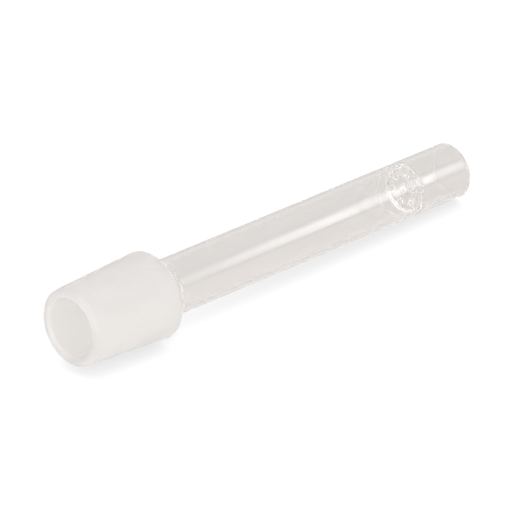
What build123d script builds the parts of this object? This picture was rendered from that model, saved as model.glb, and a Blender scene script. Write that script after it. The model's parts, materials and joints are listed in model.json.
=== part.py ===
from build123d import *
import os

# Straight adapter tube of clear laboratory glass, lying along X.
#
# A ground taper joint plugs into a matching socket.  A plain tube is fused to its back.
# A short outlet tube, with a pierced glass disc sealed across its bore, is fused to the
# tube's other end, and the two tubes neck in slightly where they were melted together.
# The glass is one rigid assembly: nothing on it moves.
#
# Frame: the origin is on the axis in the joint's gauge plane, where the ground cone is
# widest.  +X runs along the tube to its open outlet.  +Z is up.  Sizes are millimetres.

# ---- overall -----------------------------------------------------------------------
OVERALL_LENGTH = 110.0

# ---- ground joint: a 1 in 10 taper of the 19/22 size --------------------------------
JOINT_LENGTH = 22.0
JOINT_LARGE_RADIUS = 18.8 / 2
JOINT_TAPER = 1 / 10
JOINT_SMALL_RADIUS = JOINT_LARGE_RADIUS - JOINT_LENGTH * JOINT_TAPER / 2
JOINT_WALL = 2.1

LIP_OUTER_ROUND = 1.3
LIP_INNER_ROUND = 0.7

SHOULDER_LENGTH = 1.1
SHOULDER_SLANT = 0.3
SHOULDER_ROUND = 1.1
SHOULDER_FOOT_ROUND = 0.7
THROAT_X = -0.6
THROAT_SLANT = 0.4
THROAT_ROUND = 0.9
JOINT_BACK_WALL = 2.3
JOINT_BACK_ROUND = 1.4

# ---- tubes ---------------------------------------------------------------------------
TUBE_RADIUS = 12.0 / 2
TUBE_WALL = 1.0
BORE_RADIUS = TUBE_RADIUS - TUBE_WALL
STUB_END_X = 4.0
OUTLET_END_X = OVERALL_LENGTH - JOINT_LENGTH
OUTLET_LENGTH = 17.0
SEAM_X = OUTLET_END_X - OUTLET_LENGTH
SEAM_REACH = 1.4
SEAM_NECK = 0.16
SEAM_BULGE = 0.10
RIM_ROUND = 0.45

# ---- pierced disc --------------------------------------------------------------------
DISC_THICKNESS = 1.2
DISC_TO_OUTLET = 13.6
DISC_BACK_X = OUTLET_END_X - DISC_TO_OUTLET
DISC_FRONT_X = DISC_BACK_X - DISC_THICKNESS
DISC_RADIUS = 4.7
SEAL_REACH = 0.65
HOLE_RADIUS = 0.6
HOLE_EDGE_ROUND = 0.2
RING_HOLES = 6
RING_RADIUS = 3.2
RING_PHASE = 45


def ease(start, end):
    """An S-curve between two points (x, radius), level with the axis at both ends."""
    return Spline(start, end, tangents=((1, 0), (1, 0)))


def write(piece, name):
    """Labels a finished piece and writes it as a STEP file of the same name."""
    piece.part.label = name
    export_step(piece.part, f"parts/{name}.step")


os.makedirs("parts", exist_ok=True)

# ---- ground_joint: cone, rounded shoulder and the short stub that the tube is fused to ---
# Its outline runs along the ground cone to the stub, and back along the bore to the lip.
shoulder_radius = JOINT_LARGE_RADIUS + SHOULDER_LENGTH * JOINT_TAPER / 2
joint_outline = [
    ((-JOINT_LENGTH, JOINT_SMALL_RADIUS), LIP_OUTER_ROUND),
    ((SHOULDER_LENGTH, shoulder_radius), SHOULDER_ROUND),
    ((SHOULDER_LENGTH + SHOULDER_SLANT, TUBE_RADIUS), SHOULDER_FOOT_ROUND),
    ((STUB_END_X, TUBE_RADIUS), 0),
    ((STUB_END_X, BORE_RADIUS), 0),
    ((THROAT_X, BORE_RADIUS), THROAT_ROUND),
    ((THROAT_X - THROAT_SLANT, JOINT_LARGE_RADIUS - JOINT_BACK_WALL), JOINT_BACK_ROUND),
    ((-JOINT_LENGTH, JOINT_SMALL_RADIUS - JOINT_WALL), LIP_INNER_ROUND),
]
with BuildPart() as ground_joint:
    with BuildSketch(Plane.XZ):
        with BuildLine():
            FilletPolyline(
                [point for point, _ in joint_outline],
                radius=[round_radius for _, round_radius in joint_outline],
                close=True,
            )
        make_face()
    revolve(axis=Axis.X)
write(ground_joint, "ground_joint")

# ---- body_tube: from the joint's stub to the seam, where its wall necks in ---------------
neck_radius = TUBE_RADIUS - SEAM_NECK
bulge_radius = BORE_RADIUS - SEAM_BULGE
neck_start_x = SEAM_X - SEAM_REACH
with BuildPart() as body_tube:
    with BuildSketch(Plane.XZ):
        with BuildLine():
            Line((STUB_END_X, BORE_RADIUS), (STUB_END_X, TUBE_RADIUS))
            Line((STUB_END_X, TUBE_RADIUS), (neck_start_x, TUBE_RADIUS))
            ease((neck_start_x, TUBE_RADIUS), (SEAM_X, neck_radius))
            Line((SEAM_X, neck_radius), (SEAM_X, bulge_radius))
            ease((neck_start_x, BORE_RADIUS), (SEAM_X, bulge_radius))
            Line((neck_start_x, BORE_RADIUS), (STUB_END_X, BORE_RADIUS))
        make_face()
    revolve(axis=Axis.X)
write(body_tube, "body_tube")

# ---- outlet_tube: from the seam to the open end ------------------------------------------
# Its bore closes in to grip the disc, and its rim is rounded by fire-polishing.
neck_end_x = SEAM_X + SEAM_REACH
seal_start_x = DISC_FRONT_X - SEAL_REACH
seal_end_x = DISC_BACK_X + SEAL_REACH
with BuildPart() as outlet_tube:
    with BuildSketch(Plane.XZ) as outlet_section:
        with BuildLine():
            Line((SEAM_X, bulge_radius), (SEAM_X, neck_radius))
            ease((SEAM_X, neck_radius), (neck_end_x, TUBE_RADIUS))
            Line((neck_end_x, TUBE_RADIUS), (OUTLET_END_X, TUBE_RADIUS))
            Line((OUTLET_END_X, TUBE_RADIUS), (OUTLET_END_X, BORE_RADIUS))
            Line((OUTLET_END_X, BORE_RADIUS), (seal_end_x, BORE_RADIUS))
            ease((DISC_BACK_X, DISC_RADIUS), (seal_end_x, BORE_RADIUS))
            Line((DISC_BACK_X, DISC_RADIUS), (DISC_FRONT_X, DISC_RADIUS))
            ease((seal_start_x, BORE_RADIUS), (DISC_FRONT_X, DISC_RADIUS))
            Line((seal_start_x, BORE_RADIUS), (neck_end_x, BORE_RADIUS))
            ease((SEAM_X, bulge_radius), (neck_end_x, BORE_RADIUS))
        make_face()
        rim_corners = outlet_section.vertices().group_by(Axis.X)[-1]
        fillet(rim_corners, RIM_ROUND)
    revolve(axis=Axis.X)
write(outlet_tube, "outlet_tube")

# ---- pierced_disc: one hole in the middle and a ring of holes around it ------------------
with BuildPart() as pierced_disc:
    with BuildSketch(Plane.YZ.offset(DISC_FRONT_X)):
        Circle(DISC_RADIUS)
    extrude(amount=DISC_THICKNESS)
    with Locations(Plane.YZ.offset(DISC_BACK_X)):
        Hole(HOLE_RADIUS)
        with PolarLocations(RING_RADIUS, RING_HOLES, start_angle=RING_PHASE):
            Hole(HOLE_RADIUS)
    hole_edges = pierced_disc.edges().filter_by(
        lambda edge: edge.geom_type == GeomType.CIRCLE and edge.radius < DISC_RADIUS
    )
    fillet(hole_edges, HOLE_EDGE_ROUND)
write(pierced_disc, "pierced_disc")
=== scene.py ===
# Looks of the straight glass adapter tube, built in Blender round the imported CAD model.
#
# Four fused pieces of borosilicate glass lie on a white studio floor: a ground taper joint,
# a body tube, an outlet tube and a pierced disc.  The joint and both tubes are turned about
# the X axis.  Lengths are metres, in the CAD frame.  Where two pieces are fused, their
# touching faces are invisible, so that the glass reads as one continuous wall.
import json
import math

import bmesh
import bpy
from mathutils import Matrix, Vector, noise
from mathutils.geometry import delaunay_2d_cdt


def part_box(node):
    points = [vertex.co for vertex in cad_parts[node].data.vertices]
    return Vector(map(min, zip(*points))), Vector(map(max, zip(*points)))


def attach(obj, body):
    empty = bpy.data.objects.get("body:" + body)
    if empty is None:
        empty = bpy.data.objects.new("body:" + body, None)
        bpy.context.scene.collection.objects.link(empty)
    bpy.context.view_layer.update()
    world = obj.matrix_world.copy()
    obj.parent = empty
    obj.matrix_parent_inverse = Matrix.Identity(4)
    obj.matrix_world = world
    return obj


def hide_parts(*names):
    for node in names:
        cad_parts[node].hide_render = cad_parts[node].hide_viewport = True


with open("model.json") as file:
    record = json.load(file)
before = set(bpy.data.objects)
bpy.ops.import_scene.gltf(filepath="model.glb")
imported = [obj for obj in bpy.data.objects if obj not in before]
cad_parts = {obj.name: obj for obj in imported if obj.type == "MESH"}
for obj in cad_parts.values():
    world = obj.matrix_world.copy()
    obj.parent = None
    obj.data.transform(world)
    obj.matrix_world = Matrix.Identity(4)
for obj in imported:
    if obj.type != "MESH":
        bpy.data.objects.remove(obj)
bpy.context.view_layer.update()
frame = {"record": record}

MM = 0.001
BODY = "root"
CLEAR, FUSED, GROUND = 0, 1, 2

# ---- sizes that come from the frame ---------------------------------------------------
mounts = {mount["name"]: mount for mount in frame["record"]["mounts"]}
joint_low, joint_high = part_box("ground_joint")
_, tube_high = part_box("body_tube")
_, outlet_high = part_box("outlet_tube")
disc_low, disc_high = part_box("pierced_disc")

LIP_X = joint_low.x
STUB_END_X = joint_high.x
SEAM_X = tube_high.x
RIM_X = outlet_high.x
TUBE_RADIUS = mounts["outlet_outside"]["dims"]["r_mm"] * MM
BORE_RADIUS = mounts["outlet_bore"]["dims"]["r_mm"] * MM
DISC_RADIUS = disc_high.y
DISC_FRONT_X = disc_low.x
DISC_BACK_X = disc_high.x
DISC_MIDDLE_X = (DISC_FRONT_X + DISC_BACK_X) / 2

# ---- ground joint: a little slimmer than the CAD's, to stay inside its box --------------
JOINT_TAPER = 1 / 10
JOINT_LARGE_RADIUS = 9.39 * MM
JOINT_SMALL_RADIUS = JOINT_LARGE_RADIUS + LIP_X * JOINT_TAPER / 2
LIP_BORE_RADIUS = 6.2 * MM
BACK_BORE_RADIUS = 7.1 * MM
LIP_OUTER_ROUND = 1.3 * MM
LIP_INNER_ROUND = 0.7 * MM
GROUND_INSIDE = 0.8 * MM
SHOULDER_X = 1.1 * MM
SHOULDER_RADIUS = JOINT_LARGE_RADIUS + SHOULDER_X * JOINT_TAPER / 2
SHOULDER_ROUND = 1.1 * MM
GRINDING_END_X = SHOULDER_X + 0.1 * MM
GRINDING_END_RADIUS = SHOULDER_RADIUS - 1.4 * MM
SHOULDER_FOOT_X = 1.4 * MM
SHOULDER_FOOT_ROUND = 0.7 * MM
THROAT_X = -0.6 * MM
THROAT_ROUND = 0.9 * MM
CHAMBER_BACK_X = -1.0 * MM
CHAMBER_ROUND = 1.4 * MM

# ---- tubes: the neck where they are melted together, the fillet at the disc, the rim ------
SEAM_REACH = 1.4 * MM
SEAM_NECK = 0.05 * MM
SEAM_BULGE = 0.03 * MM
SEAL_ROUND = 0.65 * MM
RIM_ROUND = 0.45 * MM

# ---- pierced disc ------------------------------------------------------------------------
HOLE_RADIUS = 0.6 * MM
RING_RADIUS = 3.2 * MM
RING_HOLES = 6
RING_PHASE = math.radians(45)
HOLE_EDGE_ROUND = 0.4 * MM
# The fillet between disc and wall covers this width of the disc's face.
MENISCUS = 0.35 * MM
# Where half the disc's thickness is less than this, its two faces share their points.
CLOSED_HALF_THICKNESS = 1e-3 * MM

# ---- unevenness of the glass ---------------------------------------------------------------
WAVER = 0.015 * MM
WAVER_SCALE = 5 * MM
WAVER_STRETCH = 0.3
WAVER_FADE = 4 * MM
SEAT_REACH = 1.4 * MM
DISC_WAVER = 0.10 * MM
DISC_WAVER_SCALE = 1.4 * MM
DISC_WAVER_FADE = 1 * MM
# The disc's back takes its noise this far along X, so that its two faces differ.
BACK_WAVER_SHIFT = 1 * MM

# ---- how fine the meshes are -------------------------------------------------------------
TURN_STEPS = 192
LENGTH_STEP = 0.8 * MM
ROUND_STEPS = 10
HOLE_EDGE_STEPS = 7
HOLE_TURN_STEPS = 40
MENISCUS_STEPS = 6
FACE_STEP = 0.2 * MM
DELAUNAY_TOLERANCE = 1e-9

# ---- how the glass looks ------------------------------------------------------------------
GLASS_IOR = 1.474
NOISE_LOW, NOISE_HIGH = 0.3, 0.7
NOISE_DETAIL = 2
CLEAR_COLOUR = (0.996, 0.9948, 0.9938, 1)
CLEAR_ROUGHNESS = 0.03
HANDLING_PATCH = 9 * MM
DRAW_STRETCH = (0.02, 1, 1)
DRAW_LINE = 0.9 * MM
DRAW_DEPTH = 0.0008 * MM
MELT_SIZE = 0.9 * MM
MELT_DEPTH = 0.03 * MM
MELT_ROUGHNESS = 0.05
GROUND_WHITE = (1.0, 0.998, 0.996, 1)
# Painted shade: the taper turns to this grey toward its shoulder, and its mottling also mixes toward
# it.
GROUND_MOTTLE_AND_PAINTED_SHADE_GREY = (0.972, 0.969, 0.966, 1)
GROUND_TRANSMISSION = 0.8
GROUND_SMOOTH, GROUND_ROUGH = 0.52, 0.66
GRAIN_SIZE = 0.12 * MM
GRAIN_DEPTH = 0.006 * MM
RING_STRETCH = (1, 0.02, 0.02)
RING_DEPTH = 0.006 * MM
MOTTLE_SIZE = 3.5 * MM
MOTTLE_DETAIL = 4
MOTTLE_SHARE = 0.2

# ---- floor and world ------------------------------------------------------------------------
FLOOR_SIZE = 6.0
FLOOR_COLOUR = (0.88, 0.863, 0.852, 1)
# The camera sees the floor as a glow of FLOOR_TONE, with a painted contact shadow down to SHADOW_TONE
# near the part.
FLOOR_TONE = 1.02
SHADOW_TONE = 0.79
SHADOW_FROM, SHADOW_TO = 0.0, 0.75
SHADOW_REACH = 5.5 * MM
SHADOW_SAMPLES = 32
WORLD_COLOUR = (1.0, 0.975, 0.955, 1)
WORLD_STRENGTH = 0.78

# ---- lamps ----------------------------------------------------------------------------------
FILL_PLACE = Vector((-0.36, -0.42, 0.10))
FILL_SIZE = 0.30
FILL_POWER = 1.4
FILL_COLOUR = (1.0, 0.985, 0.97)
SOFTBOX_PLACE = Vector((0.51, -0.397, 0.321))
SOFTBOX_RADIUS = 0.21
SOFTBOX_EDGE = 0.05
SOFTBOX_EDGE_COLOUR = (0.4, 0.4, 0.4, 1)
SOFTBOX_PEAK = 3.2
SOFTBOX_SIDE = 0.45
SOFTBOX_BAR_SHIFT = -0.004
SOFTBOX_BAR_REACH = 0.07
SOFTBOX_BAR_EDGE = 0.4
SOFTBOX_STEPS = 48

# ---- camera and light paths -------------------------------------------------------------------
VIEW_DISTANCE = 1.44
VIEW_LENS = 494.0
VIEW_SENSOR = 36.0
VIEW_NEAR, VIEW_FAR = 0.1, 20.0
VIEW_FROM = Vector((-0.6319, -0.6291, 0.4514)).normalized()
VIEW_TARGET = Vector((0.029, -0.0013, 0.0001))
GLASS_BOUNCES = 200
DIFFUSE_BOUNCES = 40
TRANSPARENT_BOUNCES = 64


# ==== outlines ============================================================================
def straight(start, end, step=LENGTH_STEP):
    """Points (x, radius) from start to end, at most a step apart."""
    start, end = Vector(start), Vector(end)
    count = max(1, math.ceil((end - start).length / step))
    return [tuple(start.lerp(end, i / count)) for i in range(count + 1)]


def ease(start, end, steps=ROUND_STEPS):
    """An S-curve between two points (x, radius), level with the axis at both ends."""
    points = []
    for i in range(steps + 1):
        share = i / steps
        rise = share * share * (3 - 2 * share)
        x = start[0] + share * (end[0] - start[0])
        points.append((x, start[1] + rise * (end[1] - start[1])))
    return points


def rounded(corners):
    """An outline through corners (x, radius, rounding), with an arc at each rounded one."""
    outline = [tuple(corners[0][:2])]
    for before, corner, after in zip(corners, corners[1:], corners[2:]):
        here = Vector(corner[:2])
        way_in = (here - Vector(before[:2])).normalized()
        way_out = (Vector(after[:2]) - here).normalized()
        turn = way_in.angle_signed(way_out)
        reach = corner[2] * math.tan(abs(turn) / 2)
        arc_start = here - way_in * reach
        side = Vector((-way_in.y, way_in.x)) * (-1 if turn > 0 else 1)
        centre = arc_start + side * corner[2]
        spoke = arc_start - centre
        outline += straight(outline[-1], arc_start)[1:]
        for i in range(1, ROUND_STEPS + 1):
            outline.append(tuple(centre + Matrix.Rotation(-turn * i / ROUND_STEPS, 2) @ spoke))
    outline += straight(outline[-1], corners[-1][:2])[1:]
    return outline


# ==== meshes ==============================================================================
def placed(name, data):
    """A new object in the scene, made of a mesh, a lamp or a camera."""
    thing = bpy.data.objects.new(name, data)
    bpy.context.scene.collection.objects.link(thing)
    return thing


def meshed(name, shape):
    """A new object in the scene, made of a finished bmesh."""
    mesh = bpy.data.meshes.new(name)
    shape.to_mesh(mesh)
    shape.free()
    return placed(name, mesh)


def turn_angles(steps):
    """Evenly spaced angles once round."""
    return [math.tau * i / steps for i in range(steps)]


def waver(point, amount, scale):
    """A smooth, repeatable unevenness at a point, between plus and minus the amount."""
    return amount * noise.noise(point / scale)


def turned(name, strokes, uneven):
    """A piece turned about X from strokes, which are pairs of a material number and an outline.

    Each outline starts where the last one ended.  uneven(x, radius, angle) is added to the radius.
    """
    ring_points, ring_materials = [], []
    for material, outline in strokes:
        for point in outline[:-1]:
            ring_points.append(point)
            ring_materials.append(material)
    shape = bmesh.new()
    rings = []
    for x, radius in ring_points:
        ring = []
        for angle in turn_angles(TURN_STEPS):
            reach = radius + uneven(x, radius, angle)
            ring.append(shape.verts.new((x, reach * math.cos(angle), reach * math.sin(angle))))
        rings.append(ring)
    for k, ring in enumerate(rings):
        next_ring = rings[(k + 1) % len(rings)]
        for i in range(TURN_STEPS):
            j = (i + 1) % TURN_STEPS
            face = shape.faces.new((ring[i], ring[j], next_ring[j], next_ring[i]))
            face.material_index = ring_materials[k]
            face.smooth = ring_materials[k] != FUSED
    bmesh.ops.recalc_face_normals(shape, faces=shape.faces)
    return meshed(name, shape)


def glass_waver(x, radius, angle):
    """The slow unevenness of drawn tube, gone at the ground joint and round the disc's seat."""
    from_joint = (x - SHOULDER_FOOT_X) / WAVER_FADE
    from_seat = (abs(x - DISC_MIDDLE_X) - SEAT_REACH) / WAVER_FADE
    calm = max(0, min(1, from_joint, from_seat))
    place = Vector((x * WAVER_STRETCH, radius * math.cos(angle), radius * math.sin(angle)))
    return waver(place, WAVER * calm, WAVER_SCALE)


def finish_piece(piece, node, materials):
    """Gives a piece its materials and lets it stand for its CAD node."""
    for material in materials:
        piece.data.materials.append(material)
    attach(piece, BODY)
    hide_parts(node)


# ==== materials ===========================================================================
def new_material(name):
    """An empty node material, its node tree and its output node."""
    material = bpy.data.materials.new(name)
    material.use_nodes = True
    tree = material.node_tree
    tree.nodes.clear()
    output = tree.nodes.new("ShaderNodeOutputMaterial")
    return material, tree, output


def object_place(tree, stretch=(1, 1, 1)):
    """The place on the piece, in metres, stretched along its axes."""
    place = tree.nodes.new("ShaderNodeTexCoord")
    mapping = tree.nodes.new("ShaderNodeMapping")
    mapping.inputs["Scale"].default_value = stretch
    tree.links.new(place.outputs["Object"], mapping.inputs["Vector"])
    return mapping.outputs["Vector"]


def noise_value(tree, place, size, detail=NOISE_DETAIL):
    """Noise with features of about the given size in metres."""
    texture = tree.nodes.new("ShaderNodeTexNoise")
    texture.inputs["Scale"].default_value = 1 / size
    texture.inputs["Detail"].default_value = detail
    tree.links.new(place, texture.inputs["Vector"])
    return texture.outputs["Fac"]


def spread(tree, value, low, high):
    """Noise turned into a value between low and high."""
    mapped = tree.nodes.new("ShaderNodeMapRange")
    mapped.inputs["From Min"].default_value = NOISE_LOW
    mapped.inputs["From Max"].default_value = NOISE_HIGH
    mapped.inputs["To Min"].default_value = low
    mapped.inputs["To Max"].default_value = high
    tree.links.new(value, mapped.inputs["Value"])
    return mapped.outputs["Result"]


def bumped(tree, height, depth, normal=None):
    """A bump of the given depth in metres, on top of another normal."""
    bump = tree.nodes.new("ShaderNodeBump")
    bump.inputs["Distance"].default_value = depth
    tree.links.new(height, bump.inputs["Height"])
    if normal:
        tree.links.new(normal, bump.inputs["Normal"])
    return bump.outputs["Normal"]


def glass(name, colour, transmission):
    """A borosilicate material and its shader."""
    material, tree, output = new_material(name)
    shader = tree.nodes.new("ShaderNodeBsdfPrincipled")
    shader.inputs["Base Color"].default_value = colour
    shader.inputs["Transmission Weight"].default_value = transmission
    shader.inputs["IOR"].default_value = GLASS_IOR
    tree.links.new(shader.outputs["BSDF"], output.inputs["Surface"])
    return material, tree, shader


def clear_glass():
    """Drawn tube: polished, with faint draw lines along it and a few patches dulled by handling."""
    material, tree, shader = glass("clear_borosilicate", CLEAR_COLOUR, 1)
    lines = noise_value(tree, object_place(tree, DRAW_STRETCH), DRAW_LINE)
    patches = noise_value(tree, object_place(tree), HANDLING_PATCH)
    tree.links.new(spread(tree, patches, 0, CLEAR_ROUGHNESS), shader.inputs["Roughness"])
    tree.links.new(bumped(tree, lines, DRAW_DEPTH), shader.inputs["Normal"])
    return material


def melted_glass():
    """The disc: hand-pierced while soft, so its skin is uneven."""
    material, tree, shader = glass("melted_borosilicate", CLEAR_COLOUR, 1)
    place = object_place(tree)
    skin = noise_value(tree, place, MELT_SIZE)
    patches = noise_value(tree, place, MELT_SIZE / 2)
    tree.links.new(spread(tree, patches, 0, MELT_ROUGHNESS), shader.inputs["Roughness"])
    tree.links.new(bumped(tree, skin, MELT_DEPTH), shader.inputs["Normal"])
    return material


def ground_mottle_and_painted_shade(tree, place, mottling):
    """The ground taper's colour: a little mottled, and painted shade that turns it from white at its
    lip to grey at its shoulder.
    """
    tint = tree.nodes.new("ShaderNodeMix")
    tint.data_type = "RGBA"
    tint.inputs["A"].default_value = GROUND_MOTTLE_AND_PAINTED_SHADE_GREY
    tint.inputs["B"].default_value = GROUND_WHITE
    axes = tree.nodes.new("ShaderNodeSeparateXYZ")
    # Painted shade: the share of white falls from the lip to the shoulder.
    along = tree.nodes.new("ShaderNodeMapRange")
    along.inputs["From Min"].default_value = SHOULDER_X
    along.inputs["From Max"].default_value = LIP_X
    mottle_and_painted_shade_share = tree.nodes.new("ShaderNodeMath")
    mottle_and_painted_shade_share.operation = "MULTIPLY_ADD"
    mottle_and_painted_shade_share.inputs[1].default_value = MOTTLE_SHARE
    tree.links.new(place, axes.inputs["Vector"])
    tree.links.new(axes.outputs["X"], along.inputs["Value"])
    tree.links.new(spread(tree, mottling, -1, 1), mottle_and_painted_shade_share.inputs[0])
    tree.links.new(along.outputs["Result"], mottle_and_painted_shade_share.inputs[2])
    tree.links.new(mottle_and_painted_shade_share.outputs["Value"], tint.inputs["Factor"])
    return tint.outputs["Result"]


def ground_glass():
    """Fine-ground taper: matt, translucent white, with its grain, grinding rings and mottling, and
    painted shade toward its shoulder.
    """
    material, tree, shader = glass("ground_borosilicate", GROUND_WHITE, GROUND_TRANSMISSION)
    place = object_place(tree)
    grain = noise_value(tree, place, GRAIN_SIZE)
    rings = noise_value(tree, object_place(tree, RING_STRETCH), GRAIN_SIZE)
    mottling = noise_value(tree, place, MOTTLE_SIZE, MOTTLE_DETAIL)
    tree.links.new(ground_mottle_and_painted_shade(tree, place, mottling), shader.inputs["Base Color"])
    tree.links.new(spread(tree, mottling, GROUND_SMOOTH, GROUND_ROUGH), shader.inputs["Roughness"])
    skin = bumped(tree, rings, RING_DEPTH)
    tree.links.new(bumped(tree, grain, GRAIN_DEPTH, skin), shader.inputs["Normal"])
    return material


def fused_face():
    """Where two pieces are melted into one there is no surface to see."""
    material, tree, output = new_material("fused_glass_face")
    shader = tree.nodes.new("ShaderNodeBsdfTransparent")
    tree.links.new(shader.outputs["BSDF"], output.inputs["Surface"])
    return material


clear = clear_glass()
ground = ground_glass()
melted = melted_glass()
fused = fused_face()


# ==== pieces ==============================================================================
def build_ground_joint():
    """The taper, ground from just inside its lip to its shoulder, and the clear stub behind it."""
    bore_start = (LIP_X + GROUND_INSIDE, LIP_BORE_RADIUS)
    grinding_end = (GRINDING_END_X, GRINDING_END_RADIUS)
    taper = rounded([
        (*bore_start, 0),
        (LIP_X, LIP_BORE_RADIUS, LIP_INNER_ROUND),
        (LIP_X, JOINT_SMALL_RADIUS, LIP_OUTER_ROUND),
        (SHOULDER_X, SHOULDER_RADIUS, SHOULDER_ROUND),
        (*grinding_end, 0),
    ])
    shoulder = rounded([
        (*grinding_end, 0),
        (SHOULDER_FOOT_X, TUBE_RADIUS, SHOULDER_FOOT_ROUND),
        (STUB_END_X, TUBE_RADIUS, 0),
    ])
    end = [(STUB_END_X, TUBE_RADIUS), (STUB_END_X, BORE_RADIUS)]
    inside = rounded([
        (STUB_END_X, BORE_RADIUS, 0),
        (THROAT_X, BORE_RADIUS, THROAT_ROUND),
        (CHAMBER_BACK_X, BACK_BORE_RADIUS, CHAMBER_ROUND),
        (*bore_start, 0),
    ])
    strokes = [(GROUND, taper), (CLEAR, shoulder), (FUSED, end), (CLEAR, inside)]
    piece = turned("ground_joint_glass", strokes, glass_waver)
    finish_piece(piece, "ground_joint", (clear, fused, ground))


def build_body_tube():
    """The long plain tube from the joint's stub to the seam, where it necks in."""
    neck_x = SEAM_X - SEAM_REACH
    outer = straight((STUB_END_X, TUBE_RADIUS), (neck_x, TUBE_RADIUS))
    neck = ease((neck_x, TUBE_RADIUS), (SEAM_X, TUBE_RADIUS - SEAM_NECK))
    end = [(SEAM_X, TUBE_RADIUS - SEAM_NECK), (SEAM_X, BORE_RADIUS - SEAM_BULGE)]
    bulge = ease((SEAM_X, BORE_RADIUS - SEAM_BULGE), (neck_x, BORE_RADIUS))
    inner = straight((neck_x, BORE_RADIUS), (STUB_END_X, BORE_RADIUS))
    start = [(STUB_END_X, BORE_RADIUS), (STUB_END_X, TUBE_RADIUS)]
    strokes = [
        (CLEAR, outer), (CLEAR, neck), (FUSED, end),
        (CLEAR, bulge), (CLEAR, inner), (FUSED, start),
    ]
    piece = turned("body_tube_glass", strokes, glass_waver)
    finish_piece(piece, "body_tube", (clear, fused))


def seal_height(radius):
    """How far the fillet between disc and wall stands off the disc's face at a radius."""
    climbed = max(0, radius - (BORE_RADIUS - SEAL_ROUND))
    return SEAL_ROUND - math.sqrt(SEAL_ROUND ** 2 - climbed ** 2)


def seal(face_x, side):
    """The wall's part of that fillet, from the disc's seat to the bore.

    The side is -1 in front of the disc and 1 behind it.
    """
    middle_radius = BORE_RADIUS - SEAL_ROUND
    start = math.asin((DISC_RADIUS - middle_radius) / SEAL_ROUND)
    points = []
    for i in range(ROUND_STEPS + 1):
        angle = start + (math.pi / 2 - start) * i / ROUND_STEPS
        height = SEAL_ROUND * (1 - math.cos(angle))
        points.append((face_x + side * height, middle_radius + SEAL_ROUND * math.sin(angle)))
    return points


def build_outlet_tube():
    """The short tube from the seam to the fire-polished rim, with the disc's seat in its bore."""
    neck_x = SEAM_X + SEAM_REACH
    start = [(SEAM_X, BORE_RADIUS - SEAM_BULGE), (SEAM_X, TUBE_RADIUS - SEAM_NECK)]
    neck = ease((SEAM_X, TUBE_RADIUS - SEAM_NECK), (neck_x, TUBE_RADIUS))
    rim = rounded([
        (neck_x, TUBE_RADIUS, 0),
        (RIM_X, TUBE_RADIUS, RIM_ROUND),
        (RIM_X, BORE_RADIUS, RIM_ROUND),
        (DISC_BACK_X + SEAL_ROUND, BORE_RADIUS, 0),
    ])
    back_seal = seal(DISC_BACK_X, 1)[::-1]
    front_seal = seal(DISC_FRONT_X, -1)
    seat = [back_seal[-1], front_seal[0]]
    inner = straight(front_seal[-1], (neck_x, BORE_RADIUS))
    bulge = ease((neck_x, BORE_RADIUS), (SEAM_X, BORE_RADIUS - SEAM_BULGE))
    strokes = [
        (FUSED, start), (CLEAR, neck), (CLEAR, rim), (CLEAR, back_seal),
        (FUSED, seat), (CLEAR, front_seal), (CLEAR, inner), (CLEAR, bulge),
    ]
    piece = turned("outlet_tube_glass", strokes, glass_waver)
    finish_piece(piece, "outlet_tube", (clear, fused))


def hole_centres():
    """The middle hole and the ring of holes around it, as (y, z)."""
    centres = [Vector((0, 0))]
    for i in range(RING_HOLES):
        angle = RING_PHASE + math.tau * i / RING_HOLES
        centres.append(RING_RADIUS * Vector((math.cos(angle), math.sin(angle))))
    return centres


def disc_points(centres):
    """Points over the disc's face: rings inside its edge and round each hole, and a grid."""
    points = []
    for k in range(MENISCUS_STEPS + 1):
        inset = MENISCUS * (1 - math.cos(math.pi / 2 * k / MENISCUS_STEPS))
        radius = DISC_RADIUS - inset
        points += [radius * Vector((math.cos(a), math.sin(a))) for a in turn_angles(TURN_STEPS)]
    for centre in centres:
        for k in range(HOLE_EDGE_STEPS + 1):
            radius = HOLE_RADIUS + HOLE_EDGE_ROUND * (1 - math.cos(math.pi / 2 * k / HOLE_EDGE_STEPS))
            ring = [radius * Vector((math.cos(a), math.sin(a))) for a in turn_angles(HOLE_TURN_STEPS)]
            points += [centre + spoke for spoke in ring]
    count = math.ceil(DISC_RADIUS / FACE_STEP)
    for row in range(-count, count + 1):
        for column in range(-count, count + 1):
            point = FACE_STEP * Vector((column + row % 2 / 2, row * math.sqrt(3) / 2))
            clear_of_rim = point.length < DISC_RADIUS - MENISCUS - FACE_STEP / 2
            reach = HOLE_RADIUS + HOLE_EDGE_ROUND + FACE_STEP / 2
            if clear_of_rim and all((point - centre).length > reach for centre in centres):
                points.append(point)
    return points


def disc_half_thickness(point, centres):
    """Half the disc's thickness: it closes round each hole and thickens into the wall."""
    half = (DISC_BACK_X - DISC_FRONT_X) / 2
    from_hole = min((point - centre).length for centre in centres) - HOLE_RADIUS
    if from_hole < HOLE_EDGE_ROUND:
        gone = 1 - max(0, from_hole) / HOLE_EDGE_ROUND
        return half * math.sqrt(1 - gone * gone)
    return half + seal_height(min(point.length, DISC_RADIUS))


def disc_sides(shape, flat, centres):
    """The vertices of the disc's two uneven faces, which share one where they meet in a hole."""
    front, back = [], []
    for point in flat:
        half = disc_half_thickness(point, centres)
        uneven = DISC_WAVER * min(1, (DISC_RADIUS - point.length) / DISC_WAVER_FADE)
        front_waver = waver(Vector((0, *point)), uneven, DISC_WAVER_SCALE)
        back_waver = waver(Vector((BACK_WAVER_SHIFT, *point)), uneven, DISC_WAVER_SCALE)
        if half < CLOSED_HALF_THICKNESS:
            shared = shape.verts.new((DISC_MIDDLE_X, *point))
            front.append(shared)
            back.append(shared)
        else:
            front.append(shape.verts.new((DISC_MIDDLE_X - half + front_waver, *point)))
            back.append(shape.verts.new((DISC_MIDDLE_X + half + back_waver, *point)))
    return front, back


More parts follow.
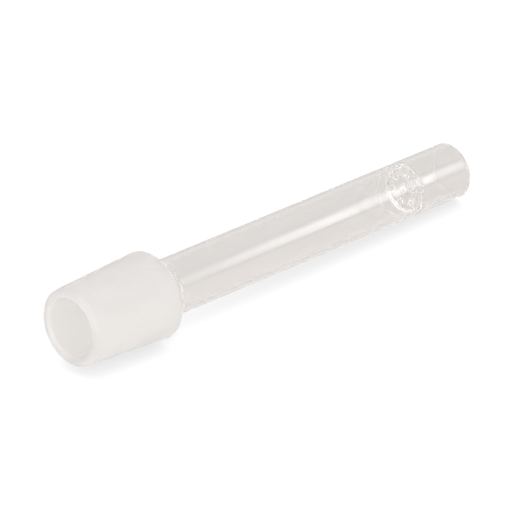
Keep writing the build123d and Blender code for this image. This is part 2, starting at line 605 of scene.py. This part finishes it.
def build_pierced_disc():
    """The sealed-in disc: two uneven faces that meet in rounded holes, and a fused edge."""
    centres = hole_centres()
    points = disc_points(centres)
    flat, _, triangles, _, _, _ = delaunay_2d_cdt(points, [], [], 0, DELAUNAY_TOLERANCE)
    shape = bmesh.new()
    sides = disc_sides(shape, flat, centres)
    for triangle in triangles:
        centre_point = sum((flat[i] for i in triangle), Vector((0, 0))) / 3
        if min((centre_point - centre).length for centre in centres) < HOLE_RADIUS:
            continue
        for side in sides:
            shape.faces.new([side[i] for i in triangle]).smooth = True
    rim_edges = [edge for edge in shape.edges if edge.is_boundary]
    seat = bmesh.ops.bridge_loops(shape, edges=rim_edges)["faces"]
    for face in seat:
        face.material_index = FUSED
        face.smooth = False
    bmesh.ops.recalc_face_normals(shape, faces=shape.faces)
    piece = meshed("pierced_disc_glass", shape)
    finish_piece(piece, "pierced_disc", (melted, fused))


build_ground_joint()
build_body_tube()
build_outlet_tube()
build_pierced_disc()


# ==== stage ===============================================================================
# The part lies on the wide end of its taper and on the rim's lower edge, so the floor is tilted.
lean = math.atan2(JOINT_LARGE_RADIUS - TUBE_RADIUS, RIM_X)
floor_up = Vector((-math.sin(lean), 0, math.cos(lean)))
floor_point = Vector((0, 0, -JOINT_LARGE_RADIUS))
tube_middle = Vector(((LIP_X + RIM_X) / 2, 0, 0))


def floor_white():
    """Pale and slightly warm to all but the camera, which sees white with a painted contact shadow: a
    glow that ambient occlusion dims near the part.
    """
    material, tree, output = new_material("floor_white")
    shader = tree.nodes.new("ShaderNodeBsdfDiffuse")
    shader.inputs["Color"].default_value = FLOOR_COLOUR
    # Painted contact shadow: ambient occlusion near the part dims the glow that the camera sees.
    covered = tree.nodes.new("ShaderNodeAmbientOcclusion")
    covered.samples = SHADOW_SAMPLES
    covered.inputs["Distance"].default_value = SHADOW_REACH
    shade = tree.nodes.new("ShaderNodeMapRange")
    shade.interpolation_type = "SMOOTHSTEP"
    shade.inputs["From Min"].default_value = SHADOW_FROM
    shade.inputs["From Max"].default_value = SHADOW_TO
    shade.inputs["To Min"].default_value = SHADOW_TONE
    shade.inputs["To Max"].default_value = FLOOR_TONE
    glow = tree.nodes.new("ShaderNodeEmission")
    path = tree.nodes.new("ShaderNodeLightPath")
    seen = tree.nodes.new("ShaderNodeMixShader")
    tree.links.new(covered.outputs["AO"], shade.inputs["Value"])
    tree.links.new(shade.outputs["Result"], glow.inputs["Strength"])
    tree.links.new(path.outputs["Is Camera Ray"], seen.inputs["Fac"])
    tree.links.new(shader.outputs["BSDF"], seen.inputs[1])
    tree.links.new(glow.outputs["Emission"], seen.inputs[2])
    tree.links.new(seen.outputs["Shader"], output.inputs["Surface"])
    return material


def build_floor():
    """A square floor that just touches the part."""
    half = FLOOR_SIZE / 2
    along = floor_up.orthogonal().normalized()
    across = floor_up.cross(along)
    shape = bmesh.new()
    signs = ((-1, -1), (1, -1), (1, 1), (-1, 1))
    corners = [along * half * a + across * half * b for a, b in signs]
    shape.faces.new([shape.verts.new(floor_point + corner) for corner in corners])
    floor = meshed("floor", shape)
    floor.data.materials.append(floor_white())


def softbox_disc(toward):
    """The softbox's round panel and the fabric edge round it, facing the tube."""
    across = toward.orthogonal().normalized()
    upward = toward.cross(across)
    shape = bmesh.new()
    rings = []
    for radius in (0, SOFTBOX_RADIUS, SOFTBOX_RADIUS + SOFTBOX_EDGE):
        ring = []
        for angle in turn_angles(SOFTBOX_STEPS):
            spoke = radius * (across * math.cos(angle) + upward * math.sin(angle))
            ring.append(shape.verts.new(SOFTBOX_PLACE + spoke))
            if radius == 0:
                break
        rings.append(ring)
    middle, panel, edge = rings
    for i in range(SOFTBOX_STEPS):
        j = (i + 1) % SOFTBOX_STEPS
        shape.faces.new((middle[0], panel[i], panel[j]))
        shape.faces.new((panel[i], edge[i], edge[j], panel[j])).material_index = 1
    return meshed("softbox", shape)


def softbox_bar(tree, place, across_x):
    """Brightness of a bar that crosses the tube's direction and fades on both sides."""
    from_bar = tree.nodes.new("ShaderNodeVectorMath")
    from_bar.operation = "SUBTRACT"
    from_bar.inputs[1].default_value = SOFTBOX_PLACE + SOFTBOX_BAR_SHIFT * across_x
    along = tree.nodes.new("ShaderNodeVectorMath")
    along.operation = "DOT_PRODUCT"
    along.inputs[1].default_value = across_x
    away = tree.nodes.new("ShaderNodeMath")
    away.operation = "ABSOLUTE"
    bar = tree.nodes.new("ShaderNodeMapRange")
    bar.inputs["From Max"].default_value = SOFTBOX_BAR_REACH
    bar.inputs["To Min"].default_value = SOFTBOX_PEAK
    bar.inputs["To Max"].default_value = SOFTBOX_PEAK * SOFTBOX_BAR_EDGE
    tree.links.new(place, from_bar.inputs[0])
    tree.links.new(from_bar.outputs["Vector"], along.inputs[0])
    tree.links.new(along.outputs["Value"], away.inputs[0])
    tree.links.new(away.outputs["Value"], bar.inputs["Value"])
    return bar.outputs["Result"]


def softbox_falloff(tree, place):
    """A share that falls from 1 in the panel's middle to its rim."""
    from_middle = tree.nodes.new("ShaderNodeVectorMath")
    from_middle.operation = "DISTANCE"
    from_middle.inputs[1].default_value = SOFTBOX_PLACE
    falloff = tree.nodes.new("ShaderNodeMapRange")
    falloff.interpolation_type = "SMOOTHSTEP"
    falloff.inputs["From Max"].default_value = SOFTBOX_RADIUS
    falloff.inputs["To Min"].default_value = 1
    falloff.inputs["To Max"].default_value = SOFTBOX_SIDE
    tree.links.new(place, from_middle.inputs[0])
    tree.links.new(from_middle.outputs["Value"], falloff.inputs["Value"])
    return falloff.outputs["Result"]


def softbox_front(toward):
    """The lit panel, brightest in its middle."""
    across_x = (Vector((1, 0, 0)) - toward.x * toward).normalized()
    material, tree, output = new_material("softbox_front")
    place = tree.nodes.new("ShaderNodeNewGeometry").outputs["Position"]
    bar = softbox_bar(tree, place, across_x)
    falloff = softbox_falloff(tree, place)
    both = tree.nodes.new("ShaderNodeMath")
    both.operation = "MULTIPLY"
    glow = tree.nodes.new("ShaderNodeEmission")
    tree.links.new(bar, both.inputs[0])
    tree.links.new(falloff, both.inputs[1])
    tree.links.new(both.outputs["Value"], glow.inputs["Strength"])
    tree.links.new(glow.outputs["Emission"], output.inputs["Surface"])
    return material


def softbox_fabric():
    """The softbox's grey edge."""
    material, tree, output = new_material("softbox_edge")
    shader = tree.nodes.new("ShaderNodeBsdfDiffuse")
    shader.inputs["Color"].default_value = SOFTBOX_EDGE_COLOUR
    tree.links.new(shader.outputs["BSDF"], output.inputs["Surface"])
    return material


def build_softbox():
    """A round softbox. The camera itself doesn't see it."""
    toward = (tube_middle - SOFTBOX_PLACE).normalized()
    softbox = softbox_disc(toward)
    softbox.data.materials.append(softbox_front(toward))
    softbox.data.materials.append(softbox_fabric())
    softbox.visible_camera = False


def build_world():
    """Even white light from all round. The camera sees it as white as the floor."""
    world = bpy.data.worlds.new("studio")
    bpy.context.scene.world = world
    world.use_nodes = True
    tree = world.node_tree
    tree.nodes.clear()
    light = tree.nodes.new("ShaderNodeBackground")
    light.inputs["Color"].default_value = WORLD_COLOUR
    light.inputs["Strength"].default_value = WORLD_STRENGTH
    white = tree.nodes.new("ShaderNodeBackground")
    white.inputs["Strength"].default_value = FLOOR_TONE
    path = tree.nodes.new("ShaderNodeLightPath")
    seen = tree.nodes.new("ShaderNodeMixShader")
    output = tree.nodes.new("ShaderNodeOutputWorld")
    tree.links.new(path.outputs["Is Camera Ray"], seen.inputs["Fac"])
    tree.links.new(light.outputs["Background"], seen.inputs[1])
    tree.links.new(white.outputs["Background"], seen.inputs[2])
    tree.links.new(seen.outputs["Shader"], output.inputs["Surface"])


def build_fill():
    """A low round light on the side that the ground joint faces."""
    lamp = bpy.data.lights.new("fill", "AREA")
    lamp.shape = "DISK"
    lamp.size = FILL_SIZE
    lamp.energy = FILL_POWER
    lamp.color = FILL_COLOUR
    fill = placed("fill", lamp)
    fill.location = FILL_PLACE
    fill.rotation_euler = (-FILL_PLACE).to_track_quat("-Z", "Y").to_euler()


build_floor()
build_softbox()
build_fill()
build_world()

# ==== camera ==============================================================================
camera_data = bpy.data.cameras.new("camera")
camera_data.lens = VIEW_LENS
camera_data.sensor_width = VIEW_SENSOR
camera_data.clip_start = VIEW_NEAR
camera_data.clip_end = VIEW_FAR
camera = placed("camera", camera_data)
away = -VIEW_FROM
right = away.cross(floor_up).normalized()
up = right.cross(away)
turn = Matrix((right, up, -away)).transposed()
camera.matrix_world = Matrix.Translation(VIEW_TARGET + VIEW_FROM * VIEW_DISTANCE) @ turn.to_4x4()
scene = bpy.context.scene
scene.camera = camera
scene.view_settings.view_transform = "Standard"

# Light passes through many glass surfaces, so its paths are long and stay sharp.
scene.cycles.blur_glossy = 0
scene.cycles.max_bounces = GLASS_BOUNCES
scene.cycles.transmission_bounces = GLASS_BOUNCES
scene.cycles.transparent_max_bounces = TRANSPARENT_BOUNCES
scene.cycles.diffuse_bounces = DIFFUSE_BOUNCES
scene.cycles.glossy_bounces = GLASS_BOUNCES
